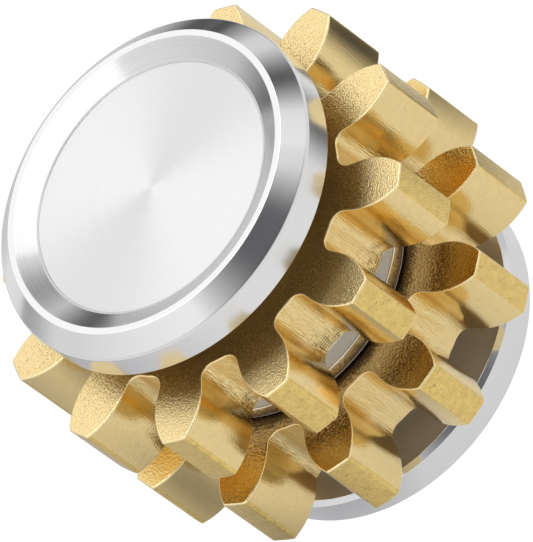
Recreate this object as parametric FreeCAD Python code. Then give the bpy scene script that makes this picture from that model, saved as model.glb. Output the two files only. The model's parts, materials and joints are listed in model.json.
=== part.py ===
import FreeCAD, Part
import math
import os

# Twin-gear finger roller: two toothed wheels turn freely on a short axle
# between two dished finger caps.  Millimetres.  The spin axis is Z and the
# rear cap's land lies on z = 0.

# ---------------------------------------------------------------- driving dimensions
TEETH = 12
MODULE = 2.0
GEAR_WIDTH = 5.0
GEAR_GAP = 3.2                 # clear space between the two gears
REAR_GEAR_PHASE = -6.9         # degrees; the front gear has a tooth on +X
GEAR_EDGE_ROUND = 0.18         # rounding where flanks meet the gear's faces

CAP_RADIUS = 10.75
CAP_THICKNESS = 3.2
CAP_TO_GEAR = 2.25             # clear space between a cap and its gear

BEARING_BORE_RADIUS = 4.0
BEARING_OUTER_RADIUS = 8.0
BALL_COUNT = 9
BALL_RADIUS = 0.97
RACE_GROOVE_RADIUS = 1.01
SHIM_THICKNESS = 0.2

# ---------------------------------------------------------------- gear tooth
TIP_RADIUS = MODULE * (TEETH + 2) / 2
ROOT_RADIUS = MODULE * (TEETH - 2.3) / 2
TIP_HALF_WIDTH = 0.775         # half the flat top of a tooth
TIP_CORNER_ROUND = 0.14
BELLY_REACH = 10.9             # where the curved flank meets the straight one
BELLY_HALF_WIDTH = 1.575
FLANK_LEAN = math.radians(8)   # of the straight lower flank
ROOT_FILLET = 0.8

# ---------------------------------------------------------------- cap face
LAND_INNER_RADIUS = 9.15
LAND_OUTER_RADIUS = 9.55
DISH_RADIUS = 7.85
DISH_DEPTH = 0.75
DISH_STEP = 0.13               # width of the fine step round the dish floor
DISH_STEP_HEIGHT = 0.07
BEVEL_DEPTH = 1.0
BEVEL_EDGE_ROUND = 0.3         # where the bevel meets the side wall
UNDERSIDE_CHAMFER = 0.3
FINE_EDGE = 0.06               # broken edges of the land

# ---------------------------------------------------------------- axle and spacer
BOSS_RADIUS = 5.05
STUD_RADIUS = 2.5
STUD_HOLE_DEPTH = 3.6          # into the cap from the end of its boss
STUD_TIP_GAP = 0.2
JOURNAL_CLEARANCE = 0.01
JOURNAL_END_GAP = 0.3          # keeps the journal's shoulder off the boss
STUD_LEAD = 0.3                # chamfer at the stud's tip
SPACER_RADIUS = 8.65
SPACER_CLEARANCE = 0.15        # between the spacer's rim and each gear
SPACER_CHAMFER = 0.12
SPACER_FLANGE = 0.95            # thickness of each of its two flanges
SPACER_WAIST_RADIUS = 6.3
SPACER_HUB_RADIUS = 5.2

# ---------------------------------------------------------------- bearing section
BALL_CIRCLE_RADIUS = (BEARING_BORE_RADIUS + BEARING_OUTER_RADIUS) / 2
INNER_SHOULDER_RADIUS = 5.25
OUTER_SHOULDER_RADIUS = 6.75
RACE_EDGE_ROUND = 0.15
SHIELD_SEAT_RADIUS = 7.3
SHIELD_SEAT_OFFSET = 1.9       # from the bearing's middle
SHIELD_THICKNESS = 0.2
SHIELD_BORE_RADIUS = 5.4
CLIP_INNER_RADIUS = 6.95
CLIP_THICKNESS = 0.25
CLIP_GAP_DEGREES = 12
SEAT_FIT = 0.02
CAGE_HALF_THICKNESS = 0.3      # radial
CAGE_HALF_HEIGHT = 1.25
CAGE_POCKET_RADIUS = 1.02

# ---------------------------------------------------------------- heights along the axis
REAR_CAP_INNER_Z = CAP_THICKNESS
REAR_GEAR_Z = REAR_CAP_INNER_Z + CAP_TO_GEAR
SPACER_Z = REAR_GEAR_Z + GEAR_WIDTH
FRONT_GEAR_Z = SPACER_Z + GEAR_GAP
FRONT_GEAR_TOP_Z = FRONT_GEAR_Z + GEAR_WIDTH
TOTAL_HEIGHT = FRONT_GEAR_TOP_Z + CAP_TO_GEAR + CAP_THICKNESS
MIDDLE_Z = TOTAL_HEIGHT / 2

ORIGIN = FreeCAD.Vector(0, 0, 0)
Z_AXIS = FreeCAD.Vector(0, 0, 1)


# ---------------------------------------------------------------- shared shapes
def rounded_wire(corners):
    """Closed wire through (x, z, rounding) corners in the XZ plane."""
    points = [FreeCAD.Vector(x, 0, z) for x, z, _ in corners]
    starts = []
    ends = []
    arcs = []
    for index, (_, _, rounding) in enumerate(corners):
        here = points[index]
        if rounding == 0:
            starts.append(here)
            ends.append(here)
            arcs.append(None)
            continue
        back = (points[index - 1] - here).normalize()
        ahead = (points[(index + 1) % len(points)] - here).normalize()
        half = back.getAngle(ahead) / 2
        start = here + back * (rounding / math.tan(half))
        end = here + ahead * (rounding / math.tan(half))
        inward = (back + ahead).normalize()
        middle = here + inward * (rounding / math.sin(half) - rounding)
        starts.append(start)
        ends.append(end)
        arcs.append(Part.Arc(start, middle, end).toShape())
    edges = []
    for index, arc in enumerate(arcs):
        if arc:
            edges.append(arc)
        finish = starts[(index + 1) % len(points)]
        edges.append(Part.LineSegment(ends[index], finish).toShape())
    return Part.Wire(edges)


def turned(corners):
    """Solid of revolution about Z from (radius, height, rounding) corners."""
    return Part.Face(rounded_wire(corners)).revolve(ORIGIN, Z_AXIS, 360)


def ring(inner, outer, low, high, rounding=0):
    """Plain turned ring with all four edges rounded alike."""
    return turned([
        (inner, low, rounding),
        (outer, low, rounding),
        (outer, high, rounding),
        (inner, high, rounding),
    ])


def raised(shape, height):
    """Copy of a shape moved up the axis."""
    copy = shape.copy()
    copy.translate(FreeCAD.Vector(0, 0, height))
    return copy


def turned_about(shape, degrees):
    """Copy of a shape turned about the spin axis."""
    copy = shape.copy()
    copy.rotate(ORIGIN, Z_AXIS, degrees)
    return copy


def front_twin(shape):
    """The rear end's piece turned over to the front end."""
    copy = shape.copy()
    copy.rotate(FreeCAD.Vector(0, 0, MIDDLE_Z), FreeCAD.Vector(1, 0, 0), 180)
    return copy


def save(node, shape):
    shape.exportStep(os.path.join("parts", node + ".step"))


# ---------------------------------------------------------------- gears
def line_2d(start, end):
    return Part.LineSegment(FreeCAD.Vector(*start, 0), FreeCAD.Vector(*end, 0)).toShape()


def arc_2d(start, through, end):
    points = [FreeCAD.Vector(*point, 0) for point in (start, through, end)]
    return Part.Arc(*points).toShape()


def polar(radius, angle, centre=(0, 0)):
    return (centre[0] + radius * math.cos(angle), centre[1] + radius * math.sin(angle))


def mirrored(point):
    return (point[0], -point[1])


def flank_points():
    """Points of one flank, from the tooth's top down to the root circle."""
    tip = (math.sqrt(TIP_RADIUS ** 2 - TIP_HALF_WIDTH ** 2), TIP_HALF_WIDTH)
    belly = (BELLY_REACH, BELLY_HALF_WIDTH)
    along = (math.cos(FLANK_LEAN), math.sin(FLANK_LEAN))
    across = (-along[1], along[0])

    # Curved upper flank: leaves the straight one tangentially and ends at the tip.
    run = (tip[0] - belly[0], tip[1] - belly[1])
    drop = run[0] * across[0] + run[1] * across[1]
    curve_radius = -(run[0] ** 2 + run[1] ** 2) / (2 * drop)
    centre = (belly[0] - curve_radius * across[0], belly[1] - curve_radius * across[1])
    from_angle = math.atan2(belly[1] - centre[1], belly[0] - centre[0])
    to_angle = math.atan2(tip[1] - centre[1], tip[0] - centre[0])
    swell = polar(curve_radius, (from_angle + to_angle) / 2, centre)

    # Root fillet: touches the straight lower flank and the root circle.
    beside = (belly[0] + ROOT_FILLET * across[0], belly[1] + ROOT_FILLET * across[1])
    half_b = beside[0] * along[0] + beside[1] * along[1]
    rest = beside[0] ** 2 + beside[1] ** 2 - (ROOT_RADIUS + ROOT_FILLET) ** 2
    down = half_b - math.sqrt(half_b ** 2 - rest)
    fillet_centre = (beside[0] - down * along[0], beside[1] - down * along[1])
    neck = (belly[0] - down * along[0], belly[1] - down * along[1])
    root_angle = math.atan2(fillet_centre[1], fillet_centre[0])
    root = polar(ROOT_RADIUS, root_angle)
    neck_angle = math.atan2(neck[1] - fillet_centre[1], neck[0] - fillet_centre[0])
    foot_angle = math.atan2(root[1] - fillet_centre[1], root[0] - fillet_centre[0])
    bend = (neck_angle % math.tau + foot_angle % math.tau) / 2
    hollow = polar(ROOT_FILLET, bend, fillet_centre)
    return tip, swell, belly, neck, hollow, root


def gear_outline():
    """Closed outline of all the teeth in the XY plane, tooth 0 on +X."""
    tip, swell, belly, neck, hollow, root = flank_points()
    half_pitch = math.pi / TEETH
    next_root = polar(ROOT_RADIUS, 2 * half_pitch - math.atan2(root[1], root[0]))
    tooth = [
        arc_2d(mirrored(root), mirrored(hollow), mirrored(neck)),
        line_2d(mirrored(neck), mirrored(belly)),
        arc_2d(mirrored(belly), mirrored(swell), mirrored(tip)),
        arc_2d(mirrored(tip), (TIP_RADIUS, 0), tip),
        arc_2d(tip, swell, belly),
        line_2d(belly, neck),
        arc_2d(neck, hollow, root),
        arc_2d(root, polar(ROOT_RADIUS, half_pitch), next_root),
    ]
    edges = []
    for index in range(TEETH):
        for edge in tooth:
            edges.append(turned_about(edge, index * 360 / TEETH))
    return Part.Wire(Part.__sortEdges__(edges))


def is_tip_corner(edge):
    """True for the edges along the axis at the corners of the tooth tops."""
    ends = [vertex.Point for vertex in edge.Vertexes]
    if abs(ends[0].z - ends[-1].z) < GEAR_WIDTH / 2:
        return False
    return math.hypot(ends[0].x, ends[0].y) > TIP_RADIUS - 0.01


def lies_flat(edge):
    """True for the edges of the toothed outline on the gear's two faces."""
    heights = [vertex.Point.z for vertex in edge.Vertexes]
    return max(heights) - min(heights) < 0.01


def gear():
    """Toothed wheel standing on z = 0, with softened edges and a bearing bore."""
    blank = Part.Face(gear_outline()).extrude(FreeCAD.Vector(0, 0, GEAR_WIDTH))
    blank = blank.makeFillet(TIP_CORNER_ROUND, [e for e in blank.Edges if is_tip_corner(e)])
    blank = blank.makeFillet(GEAR_EDGE_ROUND, [e for e in blank.Edges if lies_flat(e)])
    return blank.cut(Part.makeCylinder(BEARING_OUTER_RADIUS, GEAR_WIDTH))


# ---------------------------------------------------------------- caps
def rear_cap():
    """Dished finger cap, its land on z = 0 and its tapped boss pointing up."""
    boss_end = REAR_GEAR_Z - SHIM_THICKNESS
    step_top = DISH_DEPTH - DISH_STEP_HEIGHT
    return turned([
        (0, DISH_DEPTH, 0),
        (DISH_RADIUS, DISH_DEPTH, 0),
        (DISH_RADIUS, step_top, 0),
        (DISH_RADIUS + DISH_STEP, step_top, 0),
        (LAND_INNER_RADIUS, 0, FINE_EDGE),
        (LAND_OUTER_RADIUS, 0, FINE_EDGE),
        (CAP_RADIUS, BEVEL_DEPTH, BEVEL_EDGE_ROUND),
        (CAP_RADIUS, CAP_THICKNESS - UNDERSIDE_CHAMFER, FINE_EDGE),
        (CAP_RADIUS - UNDERSIDE_CHAMFER, CAP_THICKNESS, FINE_EDGE),
        (BOSS_RADIUS, CAP_THICKNESS, UNDERSIDE_CHAMFER),
        (BOSS_RADIUS, boss_end, FINE_EDGE),
        (STUD_RADIUS, boss_end, 0),
        (STUD_RADIUS, boss_end - STUD_HOLE_DEPTH, 0),
        (0, boss_end - STUD_HOLE_DEPTH, 0),
    ])


# ---------------------------------------------------------------- axle, spacer and shims
def axle():
    """Journal through both bearings with a threaded stud at each end."""
    journal = BEARING_BORE_RADIUS - JOURNAL_CLEARANCE
    boss_end = REAR_GEAR_Z - SHIM_THICKNESS
    shoulder = boss_end + JOURNAL_END_GAP
    stud_tip = boss_end - STUD_HOLE_DEPTH + STUD_TIP_GAP
    return turned([
        (0, stud_tip, 0),
        (STUD_RADIUS, stud_tip, STUD_LEAD),
        (STUD_RADIUS, shoulder, 0),
        (journal, shoulder, FINE_EDGE),
        (journal, TOTAL_HEIGHT - shoulder, FINE_EDGE),
        (STUD_RADIUS, TOTAL_HEIGHT - shoulder, 0),
        (STUD_RADIUS, TOTAL_HEIGHT - stud_tip, STUD_LEAD),
        (0, TOTAL_HEIGHT - stud_tip, 0),
    ])


def centre_spacer():
    """Spool between the gears; its hub alone touches the bearings' inner races."""
    low = SPACER_Z
    high = FRONT_GEAR_Z
    rim_low = low + SPACER_CLEARANCE
    rim_high = high - SPACER_CLEARANCE
    waist_low = rim_low + SPACER_FLANGE
    waist_high = rim_high - SPACER_FLANGE
    return turned([
        (BEARING_BORE_RADIUS, low, 0),
        (SPACER_HUB_RADIUS, low, 0),
        (SPACER_HUB_RADIUS, rim_low, 0),
        (SPACER_RADIUS - SPACER_CHAMFER, rim_low, FINE_EDGE),
        (SPACER_RADIUS, rim_low + SPACER_CHAMFER, FINE_EDGE),
        (SPACER_RADIUS, waist_low - SPACER_CHAMFER, FINE_EDGE),
        (SPACER_RADIUS - SPACER_CHAMFER, waist_low, FINE_EDGE),
        (SPACER_WAIST_RADIUS, waist_low, 0),
        (SPACER_WAIST_RADIUS, waist_high, 0),
        (SPACER_RADIUS - SPACER_CHAMFER, waist_high, FINE_EDGE),
        (SPACER_RADIUS, waist_high + SPACER_CHAMFER, FINE_EDGE),
        (SPACER_RADIUS, rim_high - SPACER_CHAMFER, FINE_EDGE),
        (SPACER_RADIUS - SPACER_CHAMFER, rim_high, FINE_EDGE),
        (SPACER_HUB_RADIUS, rim_high, 0),
        (SPACER_HUB_RADIUS, high, 0),
        (BEARING_BORE_RADIUS, high, 0),
    ])


def rear_shim():
    """Thin washer between the cap's boss and the bearing's inner race."""
    return ring(BEARING_BORE_RADIUS, SPACER_HUB_RADIUS, REAR_GEAR_Z - SHIM_THICKNESS, REAR_GEAR_Z)


# ---------------------------------------------------------------- ball bearing, middle at z = 0
HALF_BEARING = GEAR_WIDTH / 2


def race_groove():
    return Part.makeTorus(BALL_CIRCLE_RADIUS, RACE_GROOVE_RADIUS)


def inner_race():
    blank = ring(BEARING_BORE_RADIUS, INNER_SHOULDER_RADIUS, -HALF_BEARING, HALF_BEARING,
                 RACE_EDGE_ROUND)
    return blank.cut(race_groove())


def outer_race():
    blank = turned([
        (OUTER_SHOULDER_RADIUS, -SHIELD_SEAT_OFFSET, 0),
        (SHIELD_SEAT_RADIUS, -SHIELD_SEAT_OFFSET, 0),
        (SHIELD_SEAT_RADIUS, -HALF_BEARING, 0),
        (BEARING_OUTER_RADIUS, -HALF_BEARING, RACE_EDGE_ROUND),
        (BEARING_OUTER_RADIUS, HALF_BEARING, RACE_EDGE_ROUND),
        (SHIELD_SEAT_RADIUS, HALF_BEARING, 0),
        (SHIELD_SEAT_RADIUS, SHIELD_SEAT_OFFSET, 0),
        (OUTER_SHOULDER_RADIUS, SHIELD_SEAT_OFFSET, 0),
    ])
    return blank.cut(race_groove())


def ball_centres():
    for index in range(BALL_COUNT):
        x, y = polar(BALL_CIRCLE_RADIUS, index * math.tau / BALL_COUNT)
        yield FreeCAD.Vector(x, y, 0)


def balls():
    return Part.makeCompound([Part.makeSphere(BALL_RADIUS, centre) for centre in ball_centres()])


def ball_cage():
    """Plain ring with one radial pocket drilled through for each ball."""
    cage = ring(BALL_CIRCLE_RADIUS - CAGE_HALF_THICKNESS, BALL_CIRCLE_RADIUS + CAGE_HALF_THICKNESS,
                -CAGE_HALF_HEIGHT, CAGE_HALF_HEIGHT)
    cage = turned_about(cage, 180 / BALL_COUNT)
    pockets = []
    for centre in ball_centres():
        pocket = Part.makeCylinder(CAGE_POCKET_RADIUS, BALL_CIRCLE_RADIUS, ORIGIN, centre)
        pocket.translate(centre / 2)
        pockets.append(pocket)
    return cage.cut(pockets)


def shield():
    """Pressed plate on the bearing's upper side, clear of the inner race."""
    return ring(SHIELD_BORE_RADIUS, SHIELD_SEAT_RADIUS - SEAT_FIT, SHIELD_SEAT_OFFSET,
                SHIELD_SEAT_OFFSET + SHIELD_THICKNESS)


def shield_clip():
    """Open snap ring that holds the upper shield in its seat."""
    low = SHIELD_SEAT_OFFSET + SHIELD_THICKNESS
    section = Part.makePlane(SHIELD_SEAT_RADIUS - CLIP_INNER_RADIUS, CLIP_THICKNESS,
                             FreeCAD.Vector(CLIP_INNER_RADIUS, 0, low), FreeCAD.Vector(0, -1, 0),
                             FreeCAD.Vector(1, 0, 0))
    return section.revolve(ORIGIN, Z_AXIS, 360 - CLIP_GAP_DEGREES)


def flipped(shape):
    """Copy of a bearing piece turned over to the bearing's lower side."""
    copy = shape.copy()
    copy.rotate(ORIGIN, FreeCAD.Vector(1, 0, 0), 180)
    return copy


def save_bearing(end, middle_z):
    """Write one bearing's pieces, with its outboard side away from the spacer."""
    upper_side, lower_side = ("outboard", "inboard") if end == "front" else ("inboard", "outboard")
    clips = Part.makeCompound([shield_clip(), flipped(shield_clip())])
    save(end + "_inner_race", raised(inner_race(), middle_z))
    save(end + "_outer_race", raised(outer_race(), middle_z))
    save(end + "_balls", raised(balls(), middle_z))
    save(end + "_ball_cage", raised(ball_cage(), middle_z))
    save(end + "_" + upper_side + "_shield", raised(shield(), middle_z))
    save(end + "_" + lower_side + "_shield", raised(flipped(shield()), middle_z))
    save(end + "_shield_clips", raised(clips, middle_z))


# ---------------------------------------------------------------- write every piece
os.makedirs("parts", exist_ok=True)

save("rear_cap", rear_cap())
save("front_cap", front_twin(rear_cap()))
save("axle", axle())
save("centre_spacer", centre_spacer())
save("rear_shim", rear_shim())
save("front_shim", front_twin(rear_shim()))
save("front_gear", raised(gear(), FRONT_GEAR_Z))
save("rear_gear", raised(turned_about(gear(), REAR_GEAR_PHASE), REAR_GEAR_Z))
save_bearing("front", FRONT_GEAR_Z + HALF_BEARING)
save_bearing("rear", REAR_GEAR_Z + HALF_BEARING)

print("total height", TOTAL_HEIGHT, "tip diameter", 2 * TIP_RADIUS)
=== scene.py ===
import json
import math

import bpy
from mathutils import Matrix, Vector


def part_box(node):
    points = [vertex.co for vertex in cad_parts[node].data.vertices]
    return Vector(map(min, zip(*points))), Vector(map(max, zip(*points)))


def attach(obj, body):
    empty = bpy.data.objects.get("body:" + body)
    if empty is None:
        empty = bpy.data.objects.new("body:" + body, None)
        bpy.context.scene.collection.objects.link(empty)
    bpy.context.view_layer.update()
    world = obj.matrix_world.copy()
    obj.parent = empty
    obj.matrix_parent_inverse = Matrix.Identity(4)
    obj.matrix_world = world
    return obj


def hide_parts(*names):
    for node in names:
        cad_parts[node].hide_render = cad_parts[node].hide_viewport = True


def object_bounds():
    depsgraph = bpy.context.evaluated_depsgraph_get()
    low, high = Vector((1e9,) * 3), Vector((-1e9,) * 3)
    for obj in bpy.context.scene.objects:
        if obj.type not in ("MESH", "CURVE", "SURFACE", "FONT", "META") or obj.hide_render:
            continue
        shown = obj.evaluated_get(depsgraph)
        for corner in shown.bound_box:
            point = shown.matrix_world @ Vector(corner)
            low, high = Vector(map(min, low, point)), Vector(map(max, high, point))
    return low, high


# Looks for a twin-gear finger roller: two gold-plated wheels between two turned
# aluminium caps.  Metres; lengths named below are in millimetres times MM.

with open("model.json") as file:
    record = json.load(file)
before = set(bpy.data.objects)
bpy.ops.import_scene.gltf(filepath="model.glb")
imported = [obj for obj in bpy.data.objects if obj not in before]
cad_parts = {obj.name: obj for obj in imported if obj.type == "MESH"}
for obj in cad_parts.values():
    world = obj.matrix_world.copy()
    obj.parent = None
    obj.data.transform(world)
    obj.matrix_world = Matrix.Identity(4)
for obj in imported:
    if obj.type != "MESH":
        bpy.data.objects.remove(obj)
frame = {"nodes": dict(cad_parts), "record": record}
cad_low, cad_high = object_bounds()

MM = 0.001

# ---------------------------------------------------------------- sizes read from the frame
MIDDLE = (cad_low + cad_high) / 2
CAP_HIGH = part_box("rear_cap")[1]
CAP_RADIUS = CAP_HIGH.x
BOSS_END = CAP_HIGH.z
SPACER_LOW, SPACER_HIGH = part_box("centre_spacer")
BORE_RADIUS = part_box("rear_outer_race")[1].x
AXLE_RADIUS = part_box("axle")[1].x

# ---------------------------------------------------------------- gear tooth, as the CAD wheel
TEETH = 12
TIP_RADIUS = 14.0 * MM
ROOT_RADIUS = 9.7 * MM
TIP_HALF_WIDTH = 0.775 * MM
BELLY_REACH = 10.9 * MM
BELLY_HALF_WIDTH = 1.575 * MM
FLANK_LEAN = math.radians(8)
ROOT_FILLET = 0.8 * MM
GEAR_EDGE_ROUND = 0.10 * MM
TIP_CORNER_ROUND = 0.17 * MM
REAR_GEAR_PHASE = math.radians(-6.9)

# ---------------------------------------------------------------- plating and tool marks
# These are plain millimetres, or features to a millimetre, as the materials count in them.
GRAIN_PER_MM = 9.5
PEBBLES_PER_MM = 6.5
SPOTS_PER_MM = 5.0
CLOUD_PER_MM = 2.0
STREAKS_PER_MM = 14.0
STREAK_STRETCH = 0.08    # how slowly the streaks change along the axis
GRAIN_DEPTH = 0.1 * MM   # in metres, as the bump node wants
# How far the grain scatters the edge of the painted hub shade on the wheels' ends.
HUB_SHADE_FLECK_SPREAD = 4.0
PEBBLES_FULL = 10.3      # millimetres from the axis
PEBBLES_END = 11.3
PEBBLES_OUTSIDE = 0.3    # share of their depth that is left beyond
GAP_CENTRE = MIDDLE.z / MM
CHATTER_START = 2.4      # millimetres from the middle of the gap
CHATTER_END = 3.0
CHATTER_PER_MM = 5.5
CHATTER_PATCHES_PER_MM = 2.2
CHATTER_SHADE = 0.75
ALUMINIUM_LINES_PER_MM = 9.0
FLOOR_LINES_PER_MM = 14.0
STEEL_LINES_PER_MM = 8.0

# ---------------------------------------------------------------- cap
LAND_INNER_RADIUS = 9.15 * MM
LAND_OUTER_RADIUS = 9.55 * MM
DISH_RADIUS = 7.85 * MM
DISH_DEPTH = 0.75 * MM
DISH_STEP = 0.13 * MM
DISH_STEP_HEIGHT = 0.07 * MM
BEVEL_DEPTH = 1.0 * MM
BEVEL_EDGE_ROUND = 0.3 * MM
CAP_THICKNESS = 3.2 * MM
UNDERSIDE_CHAMFER = 0.3 * MM
BOSS_RADIUS = 5.05 * MM
STUD_RADIUS = 2.5 * MM
STUD_HOLE_DEPTH = 3.6 * MM
HAIR_ROUND = 0.03 * MM    # the least rounding that a turned corner gets

# ---------------------------------------------------------------- spacer
SPACER_CLEARANCE = 0.15 * MM
SPACER_FLANGE = 0.95 * MM
SPACER_WAIST_RADIUS = 6.3 * MM
SPACER_HUB_RADIUS = 5.2 * MM
SPACER_EDGE_ROUND = 0.1 * MM

# ---------------------------------------------------------------- how finely the meshes are cut
LATHE_SEGMENTS = 256
ARC_STEP = math.radians(15)
ON_AXIS = 0.0001 * MM
TIP_STEPS = 5
FLANK_STEPS = 18
FOOT_STEPS = 4
FILLET_STEPS = 12
EDGE_STEPS = 4
FLANK_ROWS = 10
FACE_COLUMNS = 6
HUB_ROWS = 4
ROOT_STEPS = 3

# ---------------------------------------------------------------- camera
CAMERA_AZIMUTH = math.radians(51.05)
CAMERA_ELEVATION = math.radians(44.14)
CAMERA_ROLL = math.radians(53.94)    # the spin axis leans this far left of upright
CAMERA_DISTANCE = 0.7311
CAMERA_LENS = 847.8


def add_camera():
    """Camera at the azimuth and elevation above, rolled so that the axis leans to the left."""
    back = Vector((math.sin(CAMERA_AZIMUTH) * math.cos(CAMERA_ELEVATION),
                   -math.cos(CAMERA_AZIMUTH) * math.cos(CAMERA_ELEVATION),
                   math.sin(CAMERA_ELEVATION)))
    level_up = (Vector((0, 0, 1)) - back * back.z).normalized()
    level_right = level_up.cross(back)
    up = level_up * math.cos(CAMERA_ROLL) + level_right * math.sin(CAMERA_ROLL)
    right = up.cross(back)
    data = bpy.data.cameras.new("camera")
    data.lens = CAMERA_LENS
    data.clip_start = 0.05
    data.clip_end = 20
    camera = bpy.data.objects.new("camera", data)
    bpy.context.scene.collection.objects.link(camera)
    turn = Matrix((right, up, back)).transposed()
    camera.matrix_world = Matrix.Translation(MIDDLE + back * CAMERA_DISTANCE) @ turn.to_4x4()
    bpy.context.scene.camera = camera


# ---------------------------------------------------------------- node helpers
# Places of a Mix node's colour sockets.
MIX_FIRST, MIX_SECOND, MIX_RESULT = 6, 7, 2


class Shader:
    """A Principled material with short calls for adding and joining nodes."""

    def __init__(self, name, colour, roughness, metallic=1.0):
        self.material = bpy.data.materials.new(name)
        self.material.use_nodes = True
        self.nodes = self.material.node_tree.nodes
        self.links = self.material.node_tree.links
        self.surface = self.nodes["Principled BSDF"]
        self.surface.inputs["Base Color"].default_value = (*colour, 1)
        self.surface.inputs["Roughness"].default_value = roughness
        self.surface.inputs["Metallic"].default_value = metallic

    def add(self, kind, **settings):
        node = self.nodes.new(kind)
        for key, value in settings.items():
            setattr(node, key, value)
        return node

    def join(self, source, target):
        self.links.new(source, target)

    def maths(self, operation, first, second=0.0):
        node = self.add("ShaderNodeMath", operation=operation)
        for index, value in enumerate((first, second)):
            if isinstance(value, (int, float)):
                node.inputs[index].default_value = value
            else:
                self.join(value, node.inputs[index])
        return node.outputs[0]

    def position(self):
        """Object coordinates in millimetres."""
        source = self.add("ShaderNodeTexCoord").outputs["Object"]
        scaled = self.add("ShaderNodeVectorMath", operation="SCALE")
        scaled.inputs["Scale"].default_value = 1 / MM
        self.join(source, scaled.inputs[0])
        return scaled.outputs[0]

    def radius_and_height(self):
        """Distance from the spin axis and height, both in millimetres."""
        split = self.add("ShaderNodeSeparateXYZ")
        self.join(self.position(), split.inputs[0])
        squares = self.maths("ADD", self.maths("POWER", split.outputs[0], 2.0),
                             self.maths("POWER", split.outputs[1], 2.0))
        return self.maths("SQRT", squares), split.outputs[2]

    def noise(self, vector, scale, detail=2.0, roughness=0.5):
        node = self.add("ShaderNodeTexNoise")
        self.join(vector, node.inputs["Vector"])
        node.inputs["Scale"].default_value = scale
        node.inputs["Detail"].default_value = detail
        node.inputs["Roughness"].default_value = roughness
        return node.outputs["Fac"]

    def ramp(self, source, *stops):
        """Colour ramp through (position, colour or grey) stops."""
        node = self.add("ShaderNodeValToRGB")
        for index, (place, value) in enumerate(stops):
            elements = node.color_ramp.elements
            element = elements[index] if index < 2 else elements.new(place)
            element.position = place
            colour = value if isinstance(value, tuple) else (value, value, value)
            element.color = (*colour, 1)
        self.join(source, node.inputs[0])
        return node.outputs[0]

    def fade(self, source, start, end, first, last):
        """Grey that changes from first to last as the source goes from start to end."""
        share = self.maths("DIVIDE", self.maths("SUBTRACT", source, start), end - start)
        return self.ramp(share, (0.0, first), (1.0, last))

    def bump(self, height, strength, distance):
        node = self.add("ShaderNodeBump")
        node.inputs["Strength"].default_value = strength
        node.inputs["Distance"].default_value = distance
        self.join(height, node.inputs["Height"])
        earlier = self.surface.inputs["Normal"].links
        if earlier:
            self.join(earlier[0].from_socket, node.inputs["Normal"])
        self.join(node.outputs[0], self.surface.inputs["Normal"])

    def set(self, socket, source):
        self.join(source, self.surface.inputs[socket])


def ring_lines(shader, scale):
    """Noise that is even round the axis and changes across it, as a lathe tool leaves."""
    radius, height = shader.radius_and_height()
    joined = shader.add("ShaderNodeCombineXYZ")
    shader.join(radius, joined.inputs[0])
    shader.join(height, joined.inputs[2])
    return shader.noise(joined.outputs[0], scale, detail=3.0, roughness=0.65)


# ---------------------------------------------------------------- materials
def turned_aluminium(name, grey, roughness, line_strength, metallic=1.0, evenness=0.0, painted_tint=(1, 1, 1)):
    """Lathe-turned aluminium: fine rings in the gloss, the colour and the surface.

    evenness takes the rings out of the gloss, up to 1. The last argument multiplies the colour, for a painted
    reflection.
    """
    shader = Shader(name, (grey, grey, grey), roughness, metallic)
    lines = ring_lines(shader, ALUMINIUM_LINES_PER_MM)
    fade = 0.1 * line_strength
    spread = 1 - evenness
    shader.set("Roughness", shader.ramp(lines, (0.3, roughness * (1 - 0.15 * spread)),
                                        (0.7, roughness * (1 + 0.2 * spread))))
    darker = tuple(grey * (1 - fade) * share for share in painted_tint)
    lighter = tuple(grey * (1 + fade) * share for share in painted_tint)
    shader.set("Base Color", shader.ramp(lines, (0.3, darker), (0.7, lighter)))
    shader.bump(lines, line_strength, 0.004 * MM)
    return shader.material


def brushed_floor(grey):
    """Dish floor cut in fine rings, so its highlights fan out from the centre."""
    shader = Shader("brushed_floor", (grey, grey, grey), 0.38)
    shader.surface.inputs["Anisotropic"].default_value = 0.75
    shader.surface.inputs["Anisotropic Rotation"].default_value = 0.25
    tangent = shader.add("ShaderNodeTangent", direction_type="RADIAL", axis="Z")
    shader.join(tangent.outputs[0], shader.surface.inputs["Tangent"])
    lines = ring_lines(shader, FLOOR_LINES_PER_MM)
    shader.set("Base Color", shader.ramp(lines, (0.3, grey * 0.95), (0.7, grey * 1.05)))
    shader.bump(lines, 0.15, 0.002 * MM)
    return shader.material


def chatter_marks(shader, place):
    """Short dark lines across the front gear's valleys, in patches at the end beside the gap."""
    _, height = shader.radius_and_height()
    from_gap = shader.maths("SUBTRACT", height, GAP_CENTRE)
    near = shader.maths("MULTIPLY", shader.fade(from_gap, CHATTER_START, CHATTER_END, 1.0, 0.0),
                        shader.maths("GREATER_THAN", from_gap, 0.0))
    patches = shader.noise(place, CHATTER_PATCHES_PER_MM, detail=1.0, roughness=0.5)
    wave = shader.maths("SINE", shader.maths("MULTIPLY", height, math.tau * CHATTER_PER_MM))
    marks = shader.ramp(wave, (0.0, 0.0), (0.5, 1.0))
    patchy = shader.ramp(patches, (0.48, 0.0), (0.54, 1.0))
    strength = shader.maths("MULTIPLY", shader.maths("MULTIPLY", near, patchy), marks)
    return shader.maths("SUBTRACT", 1.0, shader.maths("MULTIPLY", strength, CHATTER_SHADE))


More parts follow.
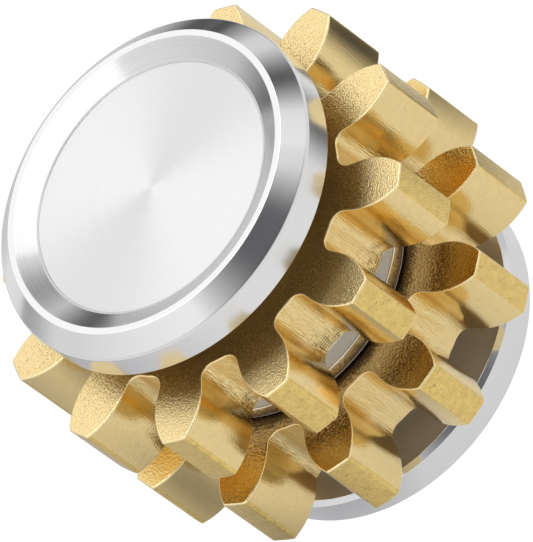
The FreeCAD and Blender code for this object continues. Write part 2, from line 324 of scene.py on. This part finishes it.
def gold_plating(name, colour, roughness, grain_slope, pit_shade, streak_slope=0.0, hub=None, chatter=False,
                 pebbles=False, cloud_shade=0.95):
    """Bright plating over a grained casting, with darker pits and soft clouds.

    hub is painted shade towards the bore: the shaded colour, the radius it reaches and the width of the
    change, in millimetres.
    The streaks run along the spin axis, chatter adds the cutter's marks, and pebbles makes the
    grain coarse near the hub and fine beyond it.
    """
    shader = Shader(name, colour, roughness)
    place = shader.position()
    grain = shader.noise(place, GRAIN_PER_MM, detail=2.0, roughness=0.6)
    spots = shader.noise(place, SPOTS_PER_MM, detail=5.0, roughness=0.75)
    cloud = shader.noise(place, CLOUD_PER_MM, detail=3.0, roughness=0.6)
    if hub:
        # Painted shade: the plating darkens towards the bore, where the wheel sits beside the spacer and
        # bearings, and the grain speckles the edge of that shade.
        hub_shade_colour, shade_radius, shade_width = hub
        radius, _ = shader.radius_and_height()
        outward = shader.maths("DIVIDE", shader.maths("SUBTRACT", radius, shade_radius), shade_width)
        shade_flecks = shader.maths("MULTIPLY", shader.maths("SUBTRACT", grain, 0.5), HUB_SHADE_FLECK_SPREAD)
        clean = shader.ramp(shader.maths("ADD", outward, shade_flecks), (0.0, hub_shade_colour), (1.0, colour))
    shade = shader.maths("MULTIPLY", shader.ramp(spots, (0.30, pit_shade), (0.42, 1.0)),
                         shader.ramp(cloud, (0.3, cloud_shade), (0.7, 1.0)))
    if chatter:
        shade = shader.maths("MULTIPLY", shade, chatter_marks(shader, place))
    pits = shader.add("ShaderNodeMix", data_type="RGBA", blend_type="MULTIPLY")
    pits.inputs["Factor"].default_value = 1.0
    shader.join(shade, pits.inputs[MIX_SECOND])
    if hub:
        shader.join(clean, pits.inputs[MIX_FIRST])
    else:
        pits.inputs[MIX_FIRST].default_value = (*colour, 1)
    shader.set("Base Color", pits.outputs[MIX_RESULT])
    if pebbles:
        radius, _ = shader.radius_and_height()
        coarse = shader.noise(place, PEBBLES_PER_MM, detail=2.0, roughness=0.5)
        reach = shader.fade(radius, PEBBLES_FULL, PEBBLES_END, 1.0, PEBBLES_OUTSIDE)
        grain = shader.maths("MULTIPLY", coarse, reach)
    shader.bump(grain, grain_slope, GRAIN_DEPTH)
    if streak_slope:
        stretched = shader.add("ShaderNodeVectorMath", operation="MULTIPLY")
        stretched.inputs[1].default_value = (1, 1, STREAK_STRETCH)
        shader.join(place, stretched.inputs[0])
        streaks = shader.noise(stretched.outputs[0], STREAKS_PER_MM, detail=1.0, roughness=0.6)
        shader.bump(streaks, streak_slope, GRAIN_DEPTH)
    return shader.material


def steel(name, colour, roughness, metallic=1.0):
    """Turned metal with fine rings in its gloss."""
    shader = Shader(name, colour, roughness, metallic)
    lines = ring_lines(shader, STEEL_LINES_PER_MM)
    shader.set("Roughness", shader.ramp(lines, (0.3, roughness * 0.7), (0.7, roughness * 1.4)))
    shader.bump(lines, 0.2, 0.002 * MM)
    return shader.material


# ---------------------------------------------------------------- mesh helpers
def make_object(name, points, faces, materials, face_materials, normals, bore_faces=()):
    """Mesh with one normal to each point, but facing the spin axis on the bore's faces."""
    mesh = bpy.data.meshes.new(name)
    mesh.from_pydata(points, [], faces)
    for material in materials:
        mesh.materials.append(material)
    mesh.polygons.foreach_set("material_index", face_materials)
    mesh.polygons.foreach_set("use_smooth", [True] * len(faces))
    corner_normals = []
    for index, face in enumerate(faces):
        for corner in face:
            if index in bore_faces:
                inward = Vector((-points[corner][0], -points[corner][1], 0)).normalized()
                corner_normals.append(tuple(inward))
            else:
                corner_normals.append(normals[corner])
    mesh.normals_split_custom_set(corner_normals)
    mesh.update()
    piece = bpy.data.objects.new(name, mesh)
    bpy.context.scene.collection.objects.link(piece)
    return piece


def arc_points(centre, radius, start, sweep, count):
    """Points and outward directions along an arc, both ends included."""
    result = []
    for index in range(count + 1):
        angle = start + sweep * index / count
        outward = (math.cos(angle), math.sin(angle))
        result.append(((centre[0] + radius * outward[0], centre[1] + radius * outward[1]), outward))
    return result


def rounded_profile(corners, fine):
    """Points with outward normals along a lathe profile of (radius, height, rounding, zone).

    The profile runs with the solid on its left.  Every corner is an arc, so each
    point has one clean normal.
    """
    samples = []
    for index in range(1, len(corners) - 1):
        before, here, after = corners[index - 1], corners[index], corners[index + 1]
        into = Vector((here[0] - before[0], here[1] - before[1])).normalized()
        out = Vector((after[0] - here[0], after[1] - here[1])).normalized()
        turn = math.atan2(into.x * out.y - into.y * out.x, into.dot(out))
        rounding = here[2]
        back = rounding * math.tan(abs(turn) / 2)
        normal_in = Vector((into.y, -into.x))
        steps = max(2, math.ceil(abs(turn) / fine))
        start = Vector(here[:2]) - into * back
        side = 1 if turn > 0 else -1
        centre = start - normal_in * rounding * side
        for step in range(steps + 1):
            angle = turn * step / steps
            normal = Vector((normal_in.x * math.cos(angle) - normal_in.y * math.sin(angle),
                             normal_in.x * math.sin(angle) + normal_in.y * math.cos(angle)))
            point = centre + normal * rounding * side
            zone = before[3] if step < steps else here[3]
            samples.append((point, normal, zone))
    first, last = corners[0], corners[-1]
    start_normal = samples[0][1]
    end_normal = samples[-1][1]
    samples.insert(0, (Vector(first[:2]), start_normal, first[3]))
    samples.append((Vector(last[:2]), end_normal, last[3]))
    return samples


def lathe(name, corners, materials, closed_loop=False, flip_about=None):
    """Turned piece about the spin axis; ends on the axis become single points.

    closed_loop joins the profile's last point to its first, for a piece with a bore.
    flip_about turns the piece over about that height, for the twin at the other end.
    """
    samples = rounded_profile(corners, ARC_STEP)
    if closed_loop:
        samples.pop()
    points = []
    normals = []
    rings = []
    for point, normal, _ in samples:
        radius, height = point
        if radius < ON_AXIS:
            rings.append([len(points)])
            points.append((0, 0, height))
            normals.append((0, 0, 1 if normal.y > 0 else -1))
            continue
        rings.append(list(range(len(points), len(points) + LATHE_SEGMENTS)))
        for index in range(LATHE_SEGMENTS):
            angle = math.tau * index / LATHE_SEGMENTS
            points.append((radius * math.cos(angle), radius * math.sin(angle), height))
            normals.append((normal.x * math.cos(angle), normal.x * math.sin(angle), normal.y))
    faces = []
    face_materials = []
    last = len(rings) if closed_loop else len(rings) - 1
    for row in range(last):
        low, high = rings[row], rings[(row + 1) % len(rings)]
        for index in range(LATHE_SEGMENTS):
            after = (index + 1) % LATHE_SEGMENTS
            if len(low) == 1:
                faces.append((low[0], high[after], high[index]))
            elif len(high) == 1:
                faces.append((low[index], low[after], high[0]))
            else:
                faces.append((low[index], low[after], high[after], high[index]))
            face_materials.append(samples[row][2])
    if flip_about is not None:
        points = [(x, -y, 2 * flip_about - z) for x, y, z in points]
        normals = [(x, -y, -z) for x, y, z in normals]
    return make_object(name, points, faces, materials, face_materials, normals)


# ---------------------------------------------------------------- caps
FLOOR, TURNED, MIRROR, UNDERSIDE, LAND, WALL = range(6)


def cap(name, node, materials, flip_about=None):
    """Finger cap drawn as the rear one, its land facing down at height 0."""
    step_top = DISH_DEPTH - DISH_STEP_HEIGHT
    hair = HAIR_ROUND
    corners = [
        (0, DISH_DEPTH, 0, FLOOR),
        (DISH_RADIUS, DISH_DEPTH, hair, TURNED),
        (DISH_RADIUS, step_top, hair, TURNED),
        (DISH_RADIUS + DISH_STEP, step_top, hair, TURNED),
        (LAND_INNER_RADIUS, 0, 2 * hair, LAND),
        (LAND_OUTER_RADIUS, 0, 2 * hair, MIRROR),
        (CAP_RADIUS, BEVEL_DEPTH, BEVEL_EDGE_ROUND, WALL),
        (CAP_RADIUS, CAP_THICKNESS - UNDERSIDE_CHAMFER, 2 * hair, MIRROR),
        (CAP_RADIUS - UNDERSIDE_CHAMFER, CAP_THICKNESS, 2 * hair, UNDERSIDE),
        (BOSS_RADIUS, CAP_THICKNESS, UNDERSIDE_CHAMFER, UNDERSIDE),
        (BOSS_RADIUS, BOSS_END, 2 * hair, UNDERSIDE),
        (STUD_RADIUS, BOSS_END, hair, UNDERSIDE),
        (STUD_RADIUS, BOSS_END - STUD_HOLE_DEPTH, hair, UNDERSIDE),
        (0, BOSS_END - STUD_HOLE_DEPTH, 0, UNDERSIDE),
    ]
    piece = lathe(name, corners, materials, flip_about=flip_about)
    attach(piece, "core")
    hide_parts(node)
    return piece


# ---------------------------------------------------------------- spacer
SPACER_WALL, SPACER_FLAT = range(2)


def spacer(materials):
    """Spool between the gears, with a hub that reaches the bearings and a satin flange at each end."""
    rim_low = SPACER_LOW.z + SPACER_CLEARANCE
    rim_high = SPACER_HIGH.z - SPACER_CLEARANCE
    waist_low = rim_low + SPACER_FLANGE
    waist_high = rim_high - SPACER_FLANGE
    rim = SPACER_HIGH.x
    hair = HAIR_ROUND
    inside = AXLE_RADIUS
    corners = [
        (inside, MIDDLE.z, 0, SPACER_WALL),
        (inside, SPACER_LOW.z, hair, SPACER_FLAT),
        (SPACER_HUB_RADIUS, SPACER_LOW.z, hair, SPACER_WALL),
        (SPACER_HUB_RADIUS, rim_low, hair, SPACER_FLAT),
        (rim, rim_low, SPACER_EDGE_ROUND, SPACER_WALL),
        (rim, waist_low, SPACER_EDGE_ROUND, SPACER_FLAT),
        (SPACER_WAIST_RADIUS, waist_low, hair, SPACER_WALL),
        (SPACER_WAIST_RADIUS, waist_high, hair, SPACER_FLAT),
        (rim, waist_high, SPACER_EDGE_ROUND, SPACER_WALL),
        (rim, rim_high, SPACER_EDGE_ROUND, SPACER_FLAT),
        (SPACER_HUB_RADIUS, rim_high, hair, SPACER_WALL),
        (SPACER_HUB_RADIUS, SPACER_HIGH.z, hair, SPACER_FLAT),
        (inside, SPACER_HIGH.z, hair, SPACER_WALL),
        (inside, MIDDLE.z, 0, SPACER_WALL),
    ]
    piece = lathe("spacer_turned", corners, materials, closed_loop=True)
    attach(piece, "core")
    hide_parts("centre_spacer")
    return piece


# ---------------------------------------------------------------- gears
FACE, FLANK, TIP, ROOT, EDGE, INNER_FACE = range(6)


def half_tooth():
    """One flank from the tooth's centre line to the valley's: (point, normal, zone)."""
    tip = Vector((math.sqrt(TIP_RADIUS ** 2 - TIP_HALF_WIDTH ** 2), TIP_HALF_WIDTH))
    belly = Vector((BELLY_REACH, BELLY_HALF_WIDTH))
    along = Vector((math.cos(FLANK_LEAN), math.sin(FLANK_LEAN)))
    across = Vector((-along.y, along.x))
    run = tip - belly
    curve_radius = -run.length_squared / (2 * run.dot(across))
    centre = belly - across * curve_radius
    belly_angle = math.atan2(across.y, across.x)

    # Corner between the tooth's top and its flank.
    corner = TIP_CORNER_ROUND
    inner_top = TIP_RADIUS - corner
    inner_flank = curve_radius - corner
    gap = centre.length
    away = (inner_top ** 2 + gap ** 2 - inner_flank ** 2) / (2 * gap)
    side = math.sqrt(inner_top ** 2 - away ** 2)
    to_centre = centre / gap
    normal_side = Vector((-to_centre.y, to_centre.x))
    corner_centre = to_centre * away + normal_side * side
    if corner_centre.x < 0:
        corner_centre = to_centre * away - normal_side * side
    top_angle = math.atan2(corner_centre.y, corner_centre.x)
    flank_start = math.atan2(corner_centre.y - centre.y, corner_centre.x - centre.x)

    # Fillet between the straight foot of the flank and the valley's floor.
    beside = belly + across * ROOT_FILLET
    foot_reach = beside.dot(along)
    excess = beside.length_squared - (ROOT_RADIUS + ROOT_FILLET) ** 2
    down = foot_reach - math.sqrt(foot_reach ** 2 - excess)
    fillet_centre = beside - along * down
    root_angle = math.atan2(fillet_centre.y, fillet_centre.x)

    samples = []
    for point, normal in arc_points((0, 0), TIP_RADIUS, 0, top_angle, TIP_STEPS):
        samples.append((point, normal, TIP))
    corner_sweep = flank_start - top_angle
    for point, normal in arc_points(corner_centre, corner, top_angle, corner_sweep, TIP_STEPS)[1:]:
        samples.append((point, normal, TIP))
    flank_sweep = belly_angle - flank_start
    for point, normal in arc_points(centre, curve_radius, flank_start, flank_sweep, FLANK_STEPS)[1:]:
        samples.append((point, normal, FLANK))
    line_end = belly - along * down
    for index in range(1, FOOT_STEPS + 1):
        point = belly.lerp(line_end, index / FOOT_STEPS)
        samples.append(((point.x, point.y), (across.x, across.y), FLANK))
    fillet_start = belly_angle - math.pi
    fillet_end = root_angle - math.pi
    sweep = (fillet_end - fillet_start + math.pi) % math.tau - math.pi
    for point, normal in arc_points(fillet_centre, ROOT_FILLET, fillet_start, sweep, FILLET_STEPS)[1:]:
        samples.append((point, (-normal[0], -normal[1]), ROOT))
    half_pitch = math.pi / TEETH
    for point, normal in arc_points((0, 0), ROOT_RADIUS, root_angle, half_pitch - root_angle, ROOT_STEPS)[1:]:
        samples.append((point, normal, ROOT))
    return samples


def tooth_outline():
    """One tooth and both half valleys, from valley centre to valley centre."""
    half = half_tooth()
    lower = [((x, -y), (nx, -ny), zone) for (x, y), (nx, ny), zone in reversed(half[1:])]
    return lower + half


def wheel_outline(phase):
    """The wheel's whole edge, tooth after tooth: (point, normal, zone)."""
    tooth = tooth_outline()[:-1]
    outline = []
    for index in range(TEETH):
        turn = phase + math.tau * index / TEETH
        c, s = math.cos(turn), math.sin(turn)
        for (x, y), (nx, ny), zone in tooth:
            outline.append(((x * c - y * s, x * s + y * c), (nx * c - ny * s, nx * s + ny * c), zone))
    return outline


def wheel_levels(low, high):
    """Levels from one end to the other: (height, inset, outward share, upward share of the normal)."""
    rounding = GEAR_EDGE_ROUND
    lower = []
    for step in range(EDGE_STEPS + 1):
        angle = math.pi / 2 * (1 - step / EDGE_STEPS)
        lower.append((low + rounding * (1 - math.sin(angle)), rounding * (1 - math.cos(angle)),
                      math.cos(angle), -math.sin(angle)))
    levels = list(lower)
    for row in range(1, FLANK_ROWS):
        levels.append((low + rounding + (high - low - 2 * rounding) * row / FLANK_ROWS, 0, 1, 0))
    for height, inset, out, up in reversed(lower):
        levels.append((low + high - height, inset, out, -up))
    return levels


class WheelMesh:
    """Points, normals and zoned faces of a toothed wheel while it is being built."""

    def __init__(self, phase, low, high):
        self.outline = wheel_outline(phase)
        self.count = len(self.outline)
        self.per_tooth = self.count // TEETH
        self.levels = wheel_levels(low, high)
        self.points = []
        self.normals = []
        self.faces = []
        self.zones = []

    def add_sides(self):
        """The toothed edge, with its rounded rims at both ends."""
        for height, inset, out, up in self.levels:
            for (x, y), (nx, ny), _ in self.outline:
                self.points.append((x - nx * inset, y - ny * inset, height))
                self.normals.append((nx * out, ny * out, up))
        bands = len(self.levels) - 1
        for level in range(bands):
            on_rim = level < EDGE_STEPS or level >= bands - EDGE_STEPS
            for index in range(self.count):
                after = (index + 1) % self.count
                base, top = level * self.count, (level + 1) * self.count
                self.faces.append((base + index, base + after, top + after, top + index))
                self.zones.append(EDGE if on_rim else self.outline[index][2])

    def flat_point(self, x, y, height, side):
        self.points.append((x, y, height))
        self.normals.append((0, 0, side))
        return len(self.points) - 1

    def flat_face(self, corners, side, zone):
        self.faces.append(tuple(corners if side > 0 else reversed(corners)))
        self.zones.append(zone)

    def tooth_end(self, first, base, side, zone):
        """Rows across one tooth's end, from its tip to its root; returns the last row."""
        half = self.per_tooth // 2
        height = self.points[base][2]
        row_above = None
        for step in range(1, half - ROOT_STEPS + 1):
            right = base + (first + half - step) % self.count
            left = base + (first + half + step) % self.count
            a, b = Vector(self.points[right]), Vector(self.points[left])
            row = [right]
            for column in range(1, FACE_COLUMNS):
                across = a.lerp(b, column / FACE_COLUMNS)
                row.append(self.flat_point(across.x, across.y, height, side))
            row.append(left)
            if row_above is None:
                top = base + (first + half) % self.count
                for column in range(FACE_COLUMNS):
                    self.flat_face([row[column], top, row[column + 1]], side, zone)
            else:
                for column in range(FACE_COLUMNS):
                    self.flat_face([row[column], row_above[column], row_above[column + 1], row[column + 1]],
                                   side, zone)
            row_above = row
        return row_above

    def hub_end(self, outer_ring, side, zone):
        """Rings from the teeth's roots to the bore; returns the bore's ring."""
        height = self.points[outer_ring[0]][2]
        previous = outer_ring
        for row in range(1, HUB_ROWS + 1):
            share = row / HUB_ROWS
            current = []
            for point_index in outer_ring:
                x, y, _ = self.points[point_index]
                angle = math.atan2(y, x)
                radius = math.hypot(x, y) * (1 - share) + BORE_RADIUS * share
                x = radius * math.cos(angle)
                y = radius * math.sin(angle)
                current.append(self.flat_point(x, y, height, side))
            for index in range(len(outer_ring)):
                after = (index + 1) % len(outer_ring)
                self.flat_face([current[index], previous[index], previous[after], current[after]], side, zone)
            previous = current
        return previous

    def add_end(self, side, zone):
        """The flat end that faces down or up, for side -1 or 1; returns the bore's ring."""
        base = 0 if side < 0 else (len(self.levels) - 1) * self.count
        hub_ring = []
        for tooth_index in range(TEETH):
            first = tooth_index * self.per_tooth
            hub_ring += self.tooth_end(first, base, side, zone)
            for step in range(1, 2 * ROOT_STEPS):
                hub_ring.append(base + (first + self.per_tooth - ROOT_STEPS + step) % self.count)
        return self.hub_end(hub_ring, side, zone)

    def add_bore(self, below, above):
        """The bore's wall between both ends' inmost rings; returns its faces."""
        bore_faces = set()
        for index in range(len(below)):
            after = (index + 1) % len(below)
            bore_faces.add(len(self.faces))
            self.faces.append((below[after], below[index], above[index], above[after]))
            self.zones.append(ROOT)
        return bore_faces


def gear(name, node, body, phase, materials):
    """Toothed wheel with rounded edges between its flanks and its ends."""
    box_low, box_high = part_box(node)
    wheel = WheelMesh(phase, box_low.z, box_high.z)
    wheel.add_sides()
    inboard = 1 if box_low.z < MIDDLE.z else -1
    lower_ring = wheel.add_end(-1, INNER_FACE if inboard < 0 else FACE)
    upper_ring = wheel.add_end(1, INNER_FACE if inboard > 0 else FACE)
    bore_faces = wheel.add_bore(lower_ring, upper_ring)
    piece = make_object(name, wheel.points, wheel.faces, materials, wheel.zones, wheel.normals, bore_faces)
    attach(piece, body)
    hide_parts(node)
    return piece


# ---------------------------------------------------------------- stage and light
STAGE_REACH = 6
FLOOR_GLOW = 0.93
MIRRORED_FLOOR_GLOW = 0.78
MIRRORED_FLOOR_LIFT = 0.1 * MM
SKY_LOW_ELEVATION, SKY_HIGH_ELEVATION = math.radians(20), math.radians(62)
SKY_LOW_LIGHT, SKY_HIGH_LIGHT = 0.84, 1.14
FLAG_DISTANCE = 0.4


def pale_floor(name, glow):
    """White floor that mostly glows by itself, so it stays even under the object."""
    shader = Shader(name, (0.12, 0.12, 0.12), 0.9, metallic=0.0)
    shader.surface.inputs["Emission Color"].default_value = (1, 1, 1, 1)
    shader.surface.inputs["Emission Strength"].default_value = glow
    shader.surface.inputs["Specular IOR Level"].default_value = 0.0
    return shader.material


def flag_material(name, grey, core):
    """Dark card that fades out towards its edges; core is the share that stays solid."""
    shader = Shader(name, (0, 0, 0), 1.0, metallic=0.0)
    place = shader.add("ShaderNodeTexCoord").outputs["Object"]
    split = shader.add("ShaderNodeSeparateXYZ")
    shader.join(place, split.inputs[0])
    reach = shader.maths("SQRT", shader.maths("ADD", shader.maths("POWER", split.outputs[0], 2.0),
                                              shader.maths("POWER", split.outputs[1], 2.0)))
    cover = shader.ramp(reach, (core, 1.0), (1.0, 0.0))
    dark = shader.add("ShaderNodeEmission")
    dark.inputs["Color"].default_value = (grey, grey, grey * 1.06, 1)
    clear = shader.add("ShaderNodeBsdfTransparent")
    blend = shader.add("ShaderNodeMixShader")
    shader.join(cover, blend.inputs[0])
    shader.join(clear.outputs[0], blend.inputs[1])
    shader.join(dark.outputs[0], blend.inputs[2])
    shader.join(blend.outputs[0], shader.nodes["Material Output"].inputs["Surface"])
    return shader.material


def sheet_of(name, centre, facing, half_width, half_height, material):
    """Rectangle centred at a point and facing another; its own coordinates run from -1 to 1."""
    points = [(-1, -1, 0), (1, -1, 0), (1, 1, 0), (-1, 1, 0)]
    mesh = bpy.data.meshes.new(name)
    mesh.from_pydata(points, [], [(0, 1, 2, 3)])
    mesh.materials.append(material)
    card = bpy.data.objects.new(name, mesh)
    bpy.context.scene.collection.objects.link(card)
    turn = (facing - centre).to_track_quat("Z", "Y").to_matrix().to_4x4()
    size = Matrix.Diagonal((half_width, half_height, 1, 1))
    card.matrix_world = Matrix.Translation(centre) @ turn @ size
    return card


def direction(azimuth, elevation):
    """Unit vector towards an azimuth and elevation in degrees."""
    a, e = math.radians(azimuth), math.radians(elevation)
    return Vector((math.cos(a) * math.cos(e), math.sin(a) * math.cos(e), math.sin(e)))


def add_flag(name, azimuth, elevation, half_width, half_height, grey, core=0.6):
    """Soft-edged dark card, seen only in reflections; its half sizes are angles in degrees."""
    card = sheet_of(name, MIDDLE + direction(azimuth, elevation) * FLAG_DISTANCE, MIDDLE,
                    FLAG_DISTANCE * math.tan(math.radians(half_width)),
                    FLAG_DISTANCE * math.tan(math.radians(half_height)), flag_material(name, grey, core))
    card.visible_camera = False
    card.visible_shadow = False


def add_floor_flag(name, x, y, level, half_size, grey, core=0.2):
    """Soft-edged dark patch just above the floor, seen only in reflections; lengths in millimetres."""
    centre = Vector((x * MM, y * MM, cad_low.z + level * MM))
    card = sheet_of(name, centre, centre + Vector((0, 0, 1)), half_size * MM, half_size * MM,
                    flag_material(name, grey, core))
    card.visible_camera = False
    card.visible_shadow = False


def add_area(name, azimuth, elevation, distance, size, power):
    """Round soft light aimed at the object."""
    data = bpy.data.lights.new(name, "AREA")
    data.shape = "DISK"
    data.size = size
    data.energy = power
    light = bpy.data.objects.new(name, data)
    bpy.context.scene.collection.objects.link(light)
    place = MIDDLE + direction(azimuth, elevation) * distance
    turn = (MIDDLE - place).to_track_quat("-Z", "Y").to_matrix().to_4x4()
    light.matrix_world = Matrix.Translation(place) @ turn
    light.visible_camera = False


def add_floors():
    """One floor for the camera, and a darker one just above it for reflections and bounced light."""
    place = Vector((0, 0, cad_low.z))
    seen = sheet_of("floor", place, place + Vector((0, 0, 1)), STAGE_REACH, STAGE_REACH,
                    pale_floor("pale_floor", FLOOR_GLOW))
    seen.visible_glossy = False
    place.z += MIRRORED_FLOOR_LIFT
    mirrored = sheet_of("mirrored_floor", place, place + Vector((0, 0, 1)), STAGE_REACH, STAGE_REACH,
                        pale_floor("mirrored_floor", MIRRORED_FLOOR_GLOW))
    mirrored.visible_camera = False


def add_sky():
    """White surroundings that grow brighter from low to high."""
    world = bpy.data.worlds.new("world")
    world.use_nodes = True
    nodes, links = world.node_tree.nodes, world.node_tree.links
    split = nodes.new("ShaderNodeSeparateXYZ")
    links.new(nodes.new("ShaderNodeTexCoord").outputs["Generated"], split.inputs[0])
    climb = nodes.new("ShaderNodeMapRange")
    links.new(split.outputs[2], climb.inputs["Value"])
    climb.inputs["From Min"].default_value = math.sin(SKY_LOW_ELEVATION)
    climb.inputs["From Max"].default_value = math.sin(SKY_HIGH_ELEVATION)
    climb.inputs["To Min"].default_value = SKY_LOW_LIGHT
    climb.inputs["To Max"].default_value = SKY_HIGH_LIGHT
    links.new(climb.outputs[0], nodes["Background"].inputs["Strength"])
    nodes["Background"].inputs["Color"].default_value = (1, 1, 1, 1)
    bpy.context.scene.world = world


def add_stage():
    """Floors, sky, the dark cards that the metal mirrors, and one soft light."""
    add_floors()
    add_sky()
    add_flag("flag_behind_high", azimuth=80, elevation=26, half_width=23, half_height=15, grey=0.05, core=0.2)
    add_flag("flag_behind_low", azimuth=113, elevation=4, half_width=16, half_height=20, grey=0.04, core=0.2)
    add_flag("flag_left", azimuth=164, elevation=3, half_width=30, half_height=22, grey=0.20, core=0.1)
    add_flag("flag_over_camera", azimuth=-25, elevation=50, half_width=50, half_height=26,
             grey=0.12, core=0.3)
    add_floor_flag("floor_flag_far", x=-115, y=285, level=0.2, half_size=210, grey=0.08, core=0.4)
    add_floor_flag("floor_flag_behind", x=-60, y=118, level=0.3, half_size=95, grey=0.10, core=0.3)
    add_floor_flag("floor_flag_left", x=-42, y=-6, level=0.4, half_size=60, grey=0.5)
    # The patch close under the object is painted shade: it darkens the floor there as the object's own shade
    # would, in reflections and bounced light.
    add_floor_flag("floor_painted_shade_near", x=-3, y=-18, level=0.5, half_size=11, grey=0.35)
    add_floor_flag("floor_flag_right", x=20, y=22, level=0.6, half_size=14, grey=0.10)
    add_area("top_light", azimuth=60, elevation=80, distance=0.6, size=0.9, power=1.1)


# ---------------------------------------------------------------- build
add_camera()
add_stage()

# Caps.
floor_metal = brushed_floor(grey=0.76)
slope_metal = turned_aluminium("turned_slope", grey=0.62, roughness=0.12, line_strength=0.5)
mirror_metal = turned_aluminium("polished_aluminium", grey=0.76, roughness=0.12, line_strength=0.08)
# The underside's warm tint is a painted reflection of the gold wheels, not the aluminium's own colour.
underside_metal = turned_aluminium("turned_underside_painted_reflection", grey=0.86, roughness=0.26, line_strength=0.01,
                                   metallic=0.72, evenness=0.9, painted_tint=(1.0, 0.93, 0.78))
land_metal = turned_aluminium("bright_land", grey=0.90, roughness=0.10, line_strength=0.1)
wall_metal = turned_aluminium("satin_wall", grey=0.77, roughness=0.19, line_strength=0.1)
cap_materials = [floor_metal, slope_metal, mirror_metal, underside_metal, land_metal, wall_metal]
cap("rear_cap_turned", "rear_cap", cap_materials)
cap("front_cap_turned", "front_cap", cap_materials, flip_about=MIDDLE.z)

# Gears.
FLANK_COLOUR = (0.83, 0.645, 0.305)
# The hub colours are painted shade towards the bore: brown on the outer ends, nearly black on the inner ends
# beside the spacer.
face_gold = gold_plating("gold_face", (0.87, 0.685, 0.34), roughness=0.09, grain_slope=0.32, pit_shade=0.5,
                         hub=((0.43, 0.295, 0.11), 9.4, 2.6))
inner_gold = gold_plating("gold_inner_face", (0.84, 0.61, 0.25), roughness=0.07, grain_slope=0.8,
                          pit_shade=0.5, hub=((0.14, 0.09, 0.04), 9.1, 0.5), pebbles=True)
flank_gold = gold_plating("gold_flank", FLANK_COLOUR, roughness=0.045, grain_slope=0.09, pit_shade=0.8,
                          streak_slope=0.08)
root_gold = gold_plating("gold_root", FLANK_COLOUR, roughness=0.045, grain_slope=0.10, pit_shade=0.7,
                         streak_slope=0.5, chatter=True)
tip_gold = gold_plating("gold_tip", (0.82, 0.60, 0.205), roughness=0.18, grain_slope=0.36, pit_shade=0.25,
                        cloud_shade=0.82)
edge_gold = gold_plating("gold_edge", (0.92, 0.76, 0.42), roughness=0.10, grain_slope=0.20, pit_shade=0.6)
gear_materials = [face_gold, flank_gold, tip_gold, root_gold, edge_gold, inner_gold]
gear("rear_wheel", "rear_gear", "rear_rotor", REAR_GEAR_PHASE, gear_materials)
gear("front_wheel", "front_gear", "front_rotor", 0.0, gear_materials)

# Spacer, and the CAD's own pieces for everything inside.
spacer_steel = steel("polished_steel", (0.72, 0.70, 0.66), roughness=0.12)
satin_steel = steel("satin_steel", (0.98, 0.97, 0.95), roughness=0.45, metallic=0.0)
bearing_steel = steel("bearing_steel", (0.62, 0.62, 0.63), roughness=0.16)
shield_steel = steel("shield_steel", (0.52, 0.44, 0.32), roughness=0.22)
cage_brass = steel("cage_brass", (0.72, 0.55, 0.28), roughness=0.3)
spacer([spacer_steel, satin_steel])
by_slot = {"axle_steel": bearing_steel, "bearing_steel": bearing_steel, "shield_steel": shield_steel,
           "cage_brass": cage_brass, "polished_steel": spacer_steel, "turned_aluminium": mirror_metal,
           "plated_brass": face_gold}
for part in frame["record"]["subparts"]:
    node = frame["nodes"][part["node"]]
    node.data.materials.clear()
    node.data.materials.append(by_slot[part["material_slot"]])

bpy.context.scene.view_settings.view_transform = "Standard"
bpy.context.scene.cycles.max_bounces = 14
bpy.context.scene.cycles.glossy_bounces = 10
